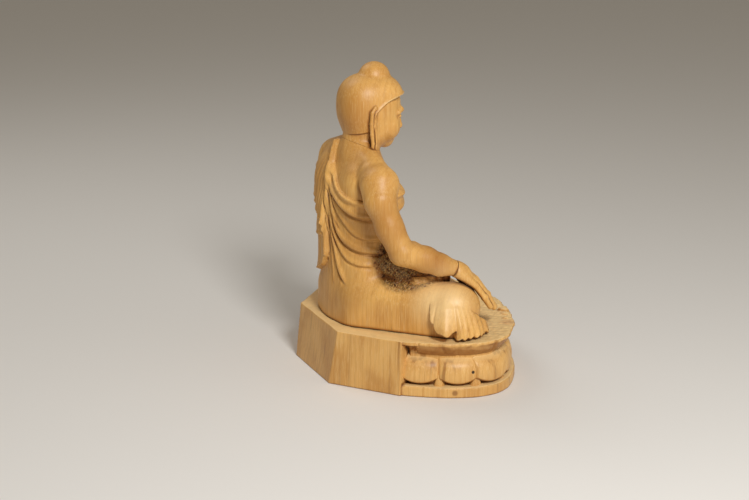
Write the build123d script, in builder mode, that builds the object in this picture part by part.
from build123d import *
import os
from math import acos, degrees, sin

# A seated Buddha of carved boxwood on a lotus pedestal, built up from joined blocks.
# The figure faces -Y, its right side is -X and +Z is up. The origin is the middle of the
# pedestal's underside. Every size is in millimetres.

# ---- driving dimensions -------------------------------------------------------------------
TOTAL_HEIGHT = 200.0
PEDESTAL_HALF_WIDTH = 90.5
PEDESTAL_HALF_DEPTH = 66.0
SEAT = 35.5                      # height of the pedestal's flat top
RIM_TOP = 6.7                    # plain band round the pedestal's foot
PETAL_TOP = 24.5                 # the bulging petals stand between the rim and this height
TIER_WALL = 29.5                 # the upper tier's rounded underside ends at this height
PETAL_INSET = 5.0                # the core behind the petals
GROOVE_INSET = 8.5               # the groove between petals and upper tier
TIER_INSET = 2.0
BACK_HALF_WIDTH = 30.0           # straight back face
CORNER_X, CORNER_Y = 69.0, 32.0  # where the chamfered back meets the lotus part
BACK_BLOCK_FRONT = 10.0          # the plain back block runs forward to here
WALL_LEAN = 5.0                  # the plain back wall leans in this much towards the top
PETAL_COUNT = 13
PETAL_RADIUS = 8.8

SHOULDER_PLANE = 38.0            # the arms are glued on at X = +-38
LEG_PLANE_Y = 30.0               # the leg block is glued to the trunk in front of this plane
LEG_PLANE_Z = 70.0               # and under this one
NECK_NAPE = (0, 46.0, 153.0)     # the neck joint slopes from the hairline at the nape
NECK_THROAT = (0, 20.0, 143.5)   # down to the throat

HEAD_CENTRE = (0, 24.5, 168.5)
HEAD_HALF_WIDTH = 18.0
HEAD_RADIUS = 22.5
BUN_BASE = (0, 22.5, 178.0)
BUN_CENTRE = (0, 21.0, 187.5)
BUN_RADIUS = TOTAL_HEIGHT - BUN_CENTRE[2]
BUN_FLARE = 3.0                  # the bun widens this much towards its base
JAW_CENTRE = (0, 15.0, 157.5)
JAW_RADIUS = 11.0
EAR_TOP = (18.2, 22.7, 172.0)
EAR_LOBE = (16.8, 26.2, 147.5)
EAR_RADIUS = 3.2
EAR_TAPER = 0.6

SHOULDER = (42.0, 35.0, 130.0)   # limb centres of the +X side; the -X side mirrors them
SHOULDER_RADIUS = 13.0
ELBOW = (57.5, 26.4, 89.0)
ELBOW_RADIUS = 9.5
RIGHT_WRIST = (-60.0, -7.7, 76.6)
LEFT_WRIST = (25.0, -8.0, 72.6)
WRIST_RADIUS = 5.1
RIGHT_KNUCKLES = (-61.0, -23.5, 65.0)
RIGHT_FINGERTIP = (-60.5, -37.0, 47.5)
RIGHT_THUMB = [(-56.0, -14.0, 72.0), (-51.5, -25.0, 59.5)]
LEFT_KNUCKLES = (6.0, -12.0, 69.0)
LEFT_FINGERTIP = (-13.0, -12.0, 67.6)
LEFT_THUMB = [(17.0, -15.0, 70.6), (2.0, -22.0, 71.0)]
THUMB_BASE_RADIUS = 3.1
THUMB_TIP_RADIUS = 2.3
PALM_HALF_SPREAD = 3.0           # the palm is a pair of limbs this far from its middle
HEEL_OF_HAND = 6.0               # they start this far past the wrist
PALM_RADIUS = 4.6
FINGER_RADIUS = 2.3
FINGER_SPACING = 4.2

HIP = (20.0, 40.0, 54.0)
HIP_RADIUS = 18.5
KNEE = (62.0, -4.0, 52.5)
KNEE_RADIUS = 15.5
SHIN_START = (62.0, -8.0, 49.5)
SHIN_START_RADIUS = 13.0
SHIN_END = (-4.0, -15.0, 53.0)
SHIN_RADIUS = 10.0
HEEL = (-28.0, -8.0, 60.0)       # the foot that lies on the -X thigh
TOES = (-47.0, 2.0, 63.0)
HEEL_RADIUS = 6.5
FOOT_RADIUS = 5.5
LAP_HALF_WIDTH = 50.0
LAP_FRONT = -14.0
LAP_TOP = 56.0
DRAPE_TOP = (64.0, 4.0, 58.0)    # the robe's pleated end over each knee
DRAPE_HEM = (79.0, -4.0, 40.0)
DRAPE_TOP_RADIUS = 9.0
DRAPE_HEM_RADIUS = 6.0

# height, middle of the section along Y, half width, half depth
TRUNK_SECTIONS = [
    (30.0, 38.0, 36.0, 18.0),
    (60.0, 34.0, 32.5, 20.0),
    (78.0, 29.0, 31.5, 18.5),
    (97.0, 31.5, 33.0, 20.0),
    (115.0, 31.0, 36.5, 22.0),
    (130.0, 32.5, 34.0, 19.0),
    (141.0, 33.0, 20.0, 14.5),
    (147.0, 32.5, 13.0, 12.5),
    (160.0, 31.5, 12.3, 12.3),
]

GLUE_THICKNESS = 0.4
LARGE_DOWEL_RADIUS = 4.0
LARGE_DOWEL_LENGTH = 32.0
NECK_DOWEL_RADIUS = 3.0
NECK_DOWEL_LENGTH = 24.0
SHOULDER_DOWEL_RADIUS = 2.5
SHOULDER_DOWEL_LENGTH = 16.0
WRIST_DOWEL_RADIUS = 1.5
WRIST_DOWEL_LENGTH = 12.0
LEG_DOWEL_PLACES = [(-16.0, LEG_PLANE_Y, 50.0), (16.0, LEG_PLANE_Y, 50.0)]
PEDESTAL_DOWEL_PLACES = [(0.0, 45.0, SEAT), (0.0, 5.0, SEAT)]
SHOULDER_DOWEL_PLACES = [(34.0, 134.0), (36.0, 125.0)]      # Y and Z on each shoulder plane

BLANK = 400.0                    # side of the blank that is cut away along a joint plane

os.makedirs("parts", exist_ok=True)


# ---- shared shapes --------------------------------------------------------------------------
def flip(point):
    """The same place on the other side of the figure."""
    return (-point[0], point[1], point[2])


def toward(start, end):
    """The direction from one place to another."""
    return (Vector(end) - Vector(start)).normalized()


def limb(start, end, start_radius, end_radius):
    """A rounded, tapering limb: a ball at each end and the cone that touches both."""
    along = Vector(end) - Vector(start)
    length = along.length
    lean = (start_radius - end_radius) / length
    turn = acos(lean)
    reach = sin(turn)
    side = along.cross(Vector(0.1, 0.2, 1))
    with BuildSketch(Plane(origin=start, x_dir=along, z_dir=side)) as profile:
        with BuildLine():
            Line((-start_radius, 0), (length + end_radius, 0))
            CenterArc((0, 0), start_radius, degrees(turn), 180 - degrees(turn))
            Line(
                (start_radius * lean, start_radius * reach),
                (length + end_radius * lean, end_radius * reach),
            )
            CenterArc((length, 0), end_radius, 0, degrees(turn))
        make_face()
    revolve(profile.sketch, axis=Axis(start, along))


def spheroid(centre, axis, half_length, radius):
    """An ellipse turned about its own axis."""
    side = Vector(axis).cross(Vector(0.1, 0.2, 1))
    with BuildSketch(Plane(origin=centre, x_dir=axis, z_dir=side)) as profile:
        Ellipse(half_length, radius)
        Rectangle(
            2 * half_length,
            2 * radius,
            align=(Align.CENTER, Align.MAX),
            mode=Mode.SUBTRACT,
        )
    revolve(profile.sketch, axis=Axis(centre, axis))


def front_points(inset):
    """The rounded lotus front, from the -X corner round to the +X corner."""
    across = (PEDESTAL_HALF_WIDTH - inset) / PEDESTAL_HALF_WIDTH
    along = (PEDESTAL_HALF_DEPTH - inset) / PEDESTAL_HALF_DEPTH
    side = [(CORNER_X, CORNER_Y), (82.5, 11), (PEDESTAL_HALF_WIDTH, -14), (78.5, -39), (54, -54.5)]
    left = [(-x * across, y * along) for x, y in side]
    middle = [(0, -PEDESTAL_HALF_DEPTH * along)]
    right = [(-x, y) for x, y in reversed(left)]
    return left + middle + right


def lotus_plan(height, inset):
    """The rounded lotus part's plan at a height, drawn in by inset, flat behind."""
    front = front_points(inset)
    with BuildSketch(Plane.XY.offset(height)) as outline:
        with BuildLine():
            Spline(*front)
            Line(front[-1], front[0])
        make_face()
    return outline.sketch


def back_plan(height, lean):
    """The plain faceted back block's plan at a height, its back face moved in by lean."""
    back = PEDESTAL_HALF_DEPTH - lean
    corner = CORNER_Y + 0.4 * (WALL_LEAN - lean)
    with BuildSketch(Plane.XY.offset(height)) as outline:
        with BuildLine():
            Polyline(
                (-CORNER_X, corner),
                (-CORNER_X, BACK_BLOCK_FRONT),
                (CORNER_X, BACK_BLOCK_FRONT),
                (CORNER_X, corner),
                (BACK_HALF_WIDTH, back),
                (-BACK_HALF_WIDTH, back),
                close=True,
            )
        make_face()
    return outline.sketch


def pegs(places, axis, radius, length, mode=Mode.ADD):
    """Straight pegs with their middles at places, or the bores that they fill."""
    with Locations(*[Plane(origin=place, z_dir=axis) for place in places]):
        Cylinder(radius, length, mode=mode)


def trim(origin, normal):
    """Cut away everything on the side of a plane that its normal points to."""
    split(bisect_by=Plane(origin=origin, z_dir=normal), keep=Keep.BOTTOM)


def thighs():
    """Both thighs, from the hips out to the knees."""
    limb(HIP, KNEE, HIP_RADIUS, KNEE_RADIUS)
    limb(flip(HIP), flip(KNEE), HIP_RADIUS, KNEE_RADIUS)


def fingers(knuckles, tip, across):
    """Four fingers side by side; across is the direction over the knuckles."""
    for place in (-1.5, -0.5, 0.5, 1.5):
        shift = Vector(across) * (place * FINGER_SPACING)
        limb(Vector(knuckles) + shift, Vector(tip) + shift * 0.85, FINGER_RADIUS + 0.2, FINGER_RADIUS)


NECK_NORMAL = toward(NECK_THROAT, NECK_NAPE).cross(Vector(-1, 0, 0))
NECK_MIDDLE = (Vector(NECK_THROAT) + Vector(NECK_NAPE)) * 0.5
RIGHT_ARM_AXIS = toward(flip(ELBOW), RIGHT_WRIST)
LEFT_ARM_AXIS = toward(ELBOW, LEFT_WRIST)
RIGHT_DOWELS = [(-SHOULDER_PLANE, y, z) for y, z in SHOULDER_DOWEL_PLACES]
LEFT_DOWELS = [(SHOULDER_PLANE, y, z) for y, z in SHOULDER_DOWEL_PLACES]

# ---- lotus pedestal -------------------------------------------------------------------------
with BuildLine() as brim:
    petal_row = Spline(*front_points(PETAL_RADIUS))

with BuildPart() as lotus_pedestal:
    # foot rim, core behind the petals, rounded underside of the upper tier, upper tier
    extrude(lotus_plan(0, 0), amount=RIM_TOP)
    extrude(lotus_plan(RIM_TOP, PETAL_INSET), amount=PETAL_TOP - RIM_TOP)
    loft([lotus_plan(PETAL_TOP, GROOVE_INSET), lotus_plan(TIER_WALL, TIER_INSET)])
    extrude(lotus_plan(TIER_WALL, TIER_INSET), amount=SEAT - TIER_WALL)
    # big petals that bulge out over the rim
    petal_length = petal_row.length / PETAL_COUNT
    petal_height = 0.5 * (RIM_TOP + PETAL_TOP)
    for number in range(PETAL_COUNT):
        place = (number + 0.5) / PETAL_COUNT
        middle = petal_row @ place + Vector(0, 0, petal_height)
        spheroid(middle, petal_row % place, 0.56 * petal_length, PETAL_RADIUS)
    # plain faceted block across the back
    loft([back_plan(0, 0), back_plan(SEAT, WALL_LEAN)])
    pegs(PEDESTAL_DOWEL_PLACES, (0, 0, 1), LARGE_DOWEL_RADIUS, LARGE_DOWEL_LENGTH, Mode.SUBTRACT)
lotus_pedestal.part.label = "lotus_pedestal"

# ---- trunk: hips, back, chest, shoulders' inner half and neck ---------------------------------
with BuildPart() as trunk:
    sections = []
    for height, middle_y, half_width, half_depth in TRUNK_SECTIONS:
        with BuildSketch(Plane.XY.offset(height)) as section:
            with Locations((0, middle_y)):
                Ellipse(half_width, half_depth)
        sections.append(section.sketch)
    loft(sections, ruled=True)
    limb(flip(SHOULDER), SHOULDER, SHOULDER_RADIUS, SHOULDER_RADIUS)
    thighs()
    # step for the leg block, the seat, the shoulder planes and the sloping neck joint
    with Locations((0, LEG_PLANE_Y, LEG_PLANE_Z)):
        Box(BLANK, BLANK, BLANK, align=(Align.CENTER, Align.MAX, Align.MAX), mode=Mode.SUBTRACT)
    trim((0, 0, SEAT), (0, 0, -1))
    trim(NECK_MIDDLE, NECK_NORMAL)
    with Locations((SHOULDER_PLANE, 0, LEG_PLANE_Z)):
        Box(BLANK, BLANK, BLANK, align=(Align.MIN, Align.CENTER, Align.MIN), mode=Mode.SUBTRACT)
    with Locations((-SHOULDER_PLANE, 0, LEG_PLANE_Z)):
        Box(BLANK, BLANK, BLANK, align=(Align.MAX, Align.CENTER, Align.MIN), mode=Mode.SUBTRACT)
    pegs([NECK_MIDDLE], NECK_NORMAL, NECK_DOWEL_RADIUS, NECK_DOWEL_LENGTH, Mode.SUBTRACT)
    pegs(
        RIGHT_DOWELS + LEFT_DOWELS,
        (1, 0, 0),
        SHOULDER_DOWEL_RADIUS,
        SHOULDER_DOWEL_LENGTH,
        Mode.SUBTRACT,
    )
    pegs(LEG_DOWEL_PLACES, (0, 1, 0), LARGE_DOWEL_RADIUS, LARGE_DOWEL_LENGTH, Mode.SUBTRACT)
    pegs(PEDESTAL_DOWEL_PLACES, (0, 0, 1), LARGE_DOWEL_RADIUS, LARGE_DOWEL_LENGTH, Mode.SUBTRACT)
trunk.part.label = "trunk"

# ---- leg block: crossed legs, upturned feet, lap and the robe's ends over the knees -----------
with BuildPart() as leg_block:
    thighs()
    for turned in (tuple, flip):
        limb(turned(SHIN_START), turned(SHIN_END), SHIN_START_RADIUS, SHIN_RADIUS)
        limb(turned(HEEL), turned(TOES), HEEL_RADIUS, FOOT_RADIUS)
        limb(turned(DRAPE_TOP), turned(DRAPE_HEM), DRAPE_TOP_RADIUS, DRAPE_HEM_RADIUS)
    with Locations((0, LAP_FRONT, SEAT)):
        Box(
            2 * LAP_HALF_WIDTH,
            LEG_PLANE_Y - LAP_FRONT,
            LAP_TOP - SEAT,
            align=(Align.CENTER, Align.MIN, Align.MIN),
        )
    trim((0, LEG_PLANE_Y, 0), (0, 1, 0))
    trim((0, 0, LEG_PLANE_Z), (0, 0, 1))
    trim((0, 0, SEAT), (0, 0, -1))
    pegs(LEG_DOWEL_PLACES, (0, 1, 0), LARGE_DOWEL_RADIUS, LARGE_DOWEL_LENGTH, Mode.SUBTRACT)
    pegs(PEDESTAL_DOWEL_PLACES, (0, 0, 1), LARGE_DOWEL_RADIUS, LARGE_DOWEL_LENGTH, Mode.SUBTRACT)
leg_block.part.label = "leg_block"

# ---- head: skull, topknot, face block and long ears -------------------------------------------
with BuildPart() as head:
    spheroid(HEAD_CENTRE, (1, 0, 0), HEAD_HALF_WIDTH, HEAD_RADIUS)
    limb(HEAD_CENTRE, JAW_CENTRE, HEAD_HALF_WIDTH - 1, JAW_RADIUS)
    limb(BUN_BASE, BUN_CENTRE, BUN_RADIUS + BUN_FLARE, BUN_RADIUS)
    for turned in (tuple, flip):
        limb(turned(EAR_TOP), turned(EAR_LOBE), EAR_RADIUS + EAR_TAPER, EAR_RADIUS - EAR_TAPER)
    add(trunk.part, mode=Mode.SUBTRACT)
    trim(NECK_MIDDLE - NECK_NORMAL * 8, -NECK_NORMAL)
    pegs([NECK_MIDDLE], NECK_NORMAL, NECK_DOWEL_RADIUS, NECK_DOWEL_LENGTH, Mode.SUBTRACT)
head.part.label = "head"

# ---- right arm, reaching down over the knee ------------------------------------------------------
with BuildPart() as right_arm:
    limb(flip(SHOULDER), flip(ELBOW), SHOULDER_RADIUS, ELBOW_RADIUS)
    limb(flip(ELBOW), RIGHT_WRIST, ELBOW_RADIUS - 0.2, WRIST_RADIUS)
    trim((-SHOULDER_PLANE, 0, 0), (1, 0, 0))
    trim(RIGHT_WRIST, RIGHT_ARM_AXIS)
    pegs(RIGHT_DOWELS, (1, 0, 0), SHOULDER_DOWEL_RADIUS, SHOULDER_DOWEL_LENGTH, Mode.SUBTRACT)
    pegs([RIGHT_WRIST], RIGHT_ARM_AXIS, WRIST_DOWEL_RADIUS, WRIST_DOWEL_LENGTH, Mode.SUBTRACT)
right_arm.part.label = "right_arm"

# ---- dark ring of glue that shows at the right wrist ----------------------------------------------
with BuildPart() as wrist_glue_line:
    pegs(
        [Vector(RIGHT_WRIST) + RIGHT_ARM_AXIS * (0.5 * GLUE_THICKNESS)],
        RIGHT_ARM_AXIS,
        WRIST_RADIUS,
        GLUE_THICKNESS,
    )
    pegs([RIGHT_WRIST], RIGHT_ARM_AXIS, WRIST_DOWEL_RADIUS, WRIST_DOWEL_LENGTH, Mode.SUBTRACT)
wrist_glue_line.part.label = "wrist_glue_line"

# ---- right hand, palm down over the knee, fingers pointing to the ground ---------------------------
with BuildPart() as right_hand:
    glue_front = Vector(RIGHT_WRIST) + RIGHT_ARM_AXIS * GLUE_THICKNESS
    limb(RIGHT_WRIST, RIGHT_KNUCKLES, WRIST_RADIUS, PALM_RADIUS)
    for offset in (-PALM_HALF_SPREAD, PALM_HALF_SPREAD):
        limb(
            Vector(RIGHT_WRIST) + RIGHT_ARM_AXIS * HEEL_OF_HAND + Vector(offset * 0.6, 0, 0),
            Vector(RIGHT_KNUCKLES) + Vector(offset, 0, 0),
            PALM_RADIUS - 0.4,
            PALM_RADIUS - 0.7,
        )
    fingers(RIGHT_KNUCKLES, RIGHT_FINGERTIP, (1, 0, 0))
    limb(*RIGHT_THUMB, THUMB_BASE_RADIUS, THUMB_TIP_RADIUS)
    trim(glue_front, -RIGHT_ARM_AXIS)
    add(leg_block.part, mode=Mode.SUBTRACT)
    pegs([RIGHT_WRIST], RIGHT_ARM_AXIS, WRIST_DOWEL_RADIUS, WRIST_DOWEL_LENGTH, Mode.SUBTRACT)
right_hand.part.label = "right_hand"

# ---- left arm, bent to the lap under the robe --------------------------------------------------------
with BuildPart() as left_arm:
    limb(SHOULDER, ELBOW, SHOULDER_RADIUS, ELBOW_RADIUS)
    trim((SHOULDER_PLANE, 0, 0), (-1, 0, 0))
    limb(ELBOW, LEFT_WRIST, ELBOW_RADIUS - 0.2, WRIST_RADIUS)
    trim(LEFT_WRIST, LEFT_ARM_AXIS)
    add(trunk.part, mode=Mode.SUBTRACT)
    add(leg_block.part, mode=Mode.SUBTRACT)
    pegs(LEFT_DOWELS, (1, 0, 0), SHOULDER_DOWEL_RADIUS, SHOULDER_DOWEL_LENGTH, Mode.SUBTRACT)
    pegs([LEFT_WRIST], LEFT_ARM_AXIS, WRIST_DOWEL_RADIUS, WRIST_DOWEL_LENGTH, Mode.SUBTRACT)
left_arm.part.label = "left_arm"

# ---- left hand, palm up in the lap ----------------------------------------------------------------------
with BuildPart() as left_hand:
    limb(LEFT_WRIST, LEFT_KNUCKLES, WRIST_RADIUS, PALM_RADIUS)
    fingers(LEFT_KNUCKLES, LEFT_FINGERTIP, (0, 1, 0))
    limb(*LEFT_THUMB, THUMB_BASE_RADIUS, THUMB_TIP_RADIUS)
    trim(LEFT_WRIST, -LEFT_ARM_AXIS)
    add(trunk.part, mode=Mode.SUBTRACT)
    add(leg_block.part, mode=Mode.SUBTRACT)
    pegs([LEFT_WRIST], LEFT_ARM_AXIS, WRIST_DOWEL_RADIUS, WRIST_DOWEL_LENGTH, Mode.SUBTRACT)
left_hand.part.label = "left_hand"

# ---- dowels inside the joints ------------------------------------------------------------------------------
with BuildPart() as neck_dowel:
    pegs([NECK_MIDDLE], NECK_NORMAL, NECK_DOWEL_RADIUS, NECK_DOWEL_LENGTH)
neck_dowel.part.label = "neck_dowel"

with BuildPart() as right_shoulder_dowels:
    pegs(RIGHT_DOWELS, (1, 0, 0), SHOULDER_DOWEL_RADIUS, SHOULDER_DOWEL_LENGTH)
right_shoulder_dowels.part.label = "right_shoulder_dowels"

with BuildPart() as left_shoulder_dowels:
    pegs(LEFT_DOWELS, (1, 0, 0), SHOULDER_DOWEL_RADIUS, SHOULDER_DOWEL_LENGTH)
left_shoulder_dowels.part.label = "left_shoulder_dowels"

with BuildPart() as right_wrist_dowel:
    pegs([RIGHT_WRIST], RIGHT_ARM_AXIS, WRIST_DOWEL_RADIUS, WRIST_DOWEL_LENGTH)
right_wrist_dowel.part.label = "right_wrist_dowel"

with BuildPart() as left_wrist_dowel:
    pegs([LEFT_WRIST], LEFT_ARM_AXIS, WRIST_DOWEL_RADIUS, WRIST_DOWEL_LENGTH)
left_wrist_dowel.part.label = "left_wrist_dowel"

with BuildPart() as leg_block_dowels:
    pegs(LEG_DOWEL_PLACES, (0, 1, 0), LARGE_DOWEL_RADIUS, LARGE_DOWEL_LENGTH)
leg_block_dowels.part.label = "leg_block_dowels"

with BuildPart() as pedestal_dowels:
    pegs(PEDESTAL_DOWEL_PLACES, (0, 0, 1), LARGE_DOWEL_RADIUS, LARGE_DOWEL_LENGTH)
pedestal_dowels.part.label = "pedestal_dowels"

# ---- files ------------------------------------------------------------------------------------------------------
for piece in (
    lotus_pedestal,
    trunk,
    leg_block,
    head,
    right_arm,
    wrist_glue_line,
    right_hand,
    left_arm,
    left_hand,
    neck_dowel,
    right_shoulder_dowels,
    left_shoulder_dowels,
    right_wrist_dowel,
    left_wrist_dowel,
    leg_block_dowels,
    pedestal_dowels,
):
    export_step(piece.part, f"parts/{piece.part.label}.step")
